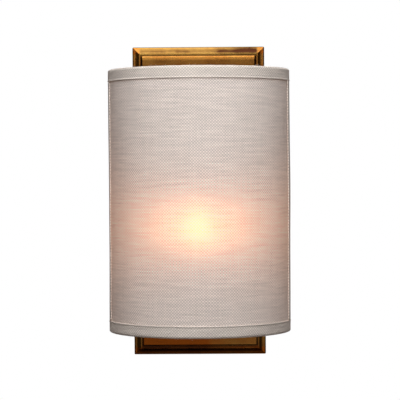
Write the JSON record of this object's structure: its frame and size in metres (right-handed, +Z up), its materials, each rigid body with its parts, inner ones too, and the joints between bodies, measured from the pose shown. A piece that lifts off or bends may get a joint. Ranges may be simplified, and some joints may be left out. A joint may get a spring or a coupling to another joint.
{
  "type": "wall light",
  "caption": "Wall light with a half-round linen shade over a tall stepped brass plate and one upright candle lamp.",
  "frame": {"origin": "middle of the two outlet-box screw slots, on the wall", "axes": "+X to the right seen from the room, +Y into the wall, +Z up"},
  "size_m": [0.2102, 0.1016, 0.3556],
  "materials": {
    "aged_brass": "brushed, with a dark lacquered patina",
    "zinc_steel": "bright zinc plating",
    "ground_green": "green chromate",
    "linen": "natural linen weave",
    "linen_tape": "linen tape, folded and glued",
    "styrene": "matt translucent",
    "white_wire": "white powder coat",
    "black_phenolic": "moulded, low sheen",
    "nylon": "moulded, satin",
    "contact_brass": "bright",
    "clear_glass": "clear",
    "black_glass": "glassy black",
    "solder": "dull solder",
    "filament": "glowing tungsten"
  },
  "bodies": {
    "wall_plate": {"backplate_pan": "aged_brass", "face_panel": "aged_brass", "mounting_strap": "zinc_steel", "plate_studs": "zinc_steel", "strap_nuts": "zinc_steel", "cap_nuts": "aged_brass", "ground_screw": "ground_green", "shade_posts": "zinc_steel", "back_nuts": "zinc_steel", "lamp_bracket": "zinc_steel", "bracket_screws": "zinc_steel", "lead_bushing": "nylon", "holder_body": "black_phenolic", "terminal_screws": "contact_brass", "holder_shell": "contact_brass", "holder_contact": "contact_brass", "holder_nipple": "zinc_steel", "holder_locknuts": "zinc_steel"},
    "shade": {"shade_fabric": "linen", "shade_liner": "styrene", "top_rim_tape": "linen_tape", "bottom_rim_tape": "linen_tape", "left_side_tape": "linen_tape", "right_side_tape": "linen_tape", "top_hoop": "white_wire", "bottom_hoop": "white_wire", "left_side_wire": "white_wire", "right_side_wire": "white_wire", "top_strap": "white_wire", "bottom_strap": "white_wire"},
    "top_washer": {"top_thumb_washer": "zinc_steel"},
    "top_nut": {"top_thumb_nut": "aged_brass"},
    "bottom_washer": {"bottom_thumb_washer": "zinc_steel"},
    "bottom_nut": {"bottom_thumb_nut": "aged_brass"},
    "bulb_tip_carrier": {"bulb_tip": "solder"},
    "bulb": {"bulb_glass": "clear_glass", "bulb_cap": "contact_brass", "bulb_insulator": "black_glass", "bulb_stem": "clear_glass", "bulb_filament": "filament"}
  },
  "joints": [
    {"name": "shade_pull", "type": "slide", "parent": "wall_plate", "child": "shade", "axis": [0, -1, 0], "range_m": [0, 0.1]},
    {"name": "top_washer_slide", "type": "slide", "parent": "shade", "child": "top_washer", "axis": [0, -1, 0], "range_m": [0, 0.0096]},
    {"name": "top_nut_turn", "type": "hinge", "parent": "top_washer", "child": "top_nut", "pos_m": [0, -0.02698, 0.14205], "axis": [0, -1, 0], "range_deg": [0, 4320]},
    {"name": "bottom_washer_slide", "type": "slide", "parent": "shade", "child": "bottom_washer", "axis": [0, -1, 0], "range_m": [0, 0.0096]},
    {"name": "bottom_nut_turn", "type": "hinge", "parent": "bottom_washer", "child": "bottom_nut", "pos_m": [0, -0.02698, -0.14205], "axis": [0, -1, 0], "range_deg": [0, 4320]},
    {"name": "bulb_lift", "type": "slide", "parent": "wall_plate", "child": "bulb_tip_carrier", "axis": [0, 0, 1], "range_m": [0, 0.0179]},
    {"name": "bulb_turn", "type": "hinge", "parent": "bulb_tip_carrier", "child": "bulb", "pos_m": [0, -0.058, -0.07], "axis": [0, 0, 1], "range_deg": [0, 2520]}
  ],
  "couplings": [
    {"joint": "top_washer_slide", "follows": "top_nut_turn", "m_per_rad": 0.00012633},
    {"joint": "bottom_washer_slide", "follows": "bottom_nut_turn", "m_per_rad": 0.00012633},
    {"joint": "bulb_lift", "follows": "bulb_turn", "m_per_rad": 0.00040425}
  ]
}
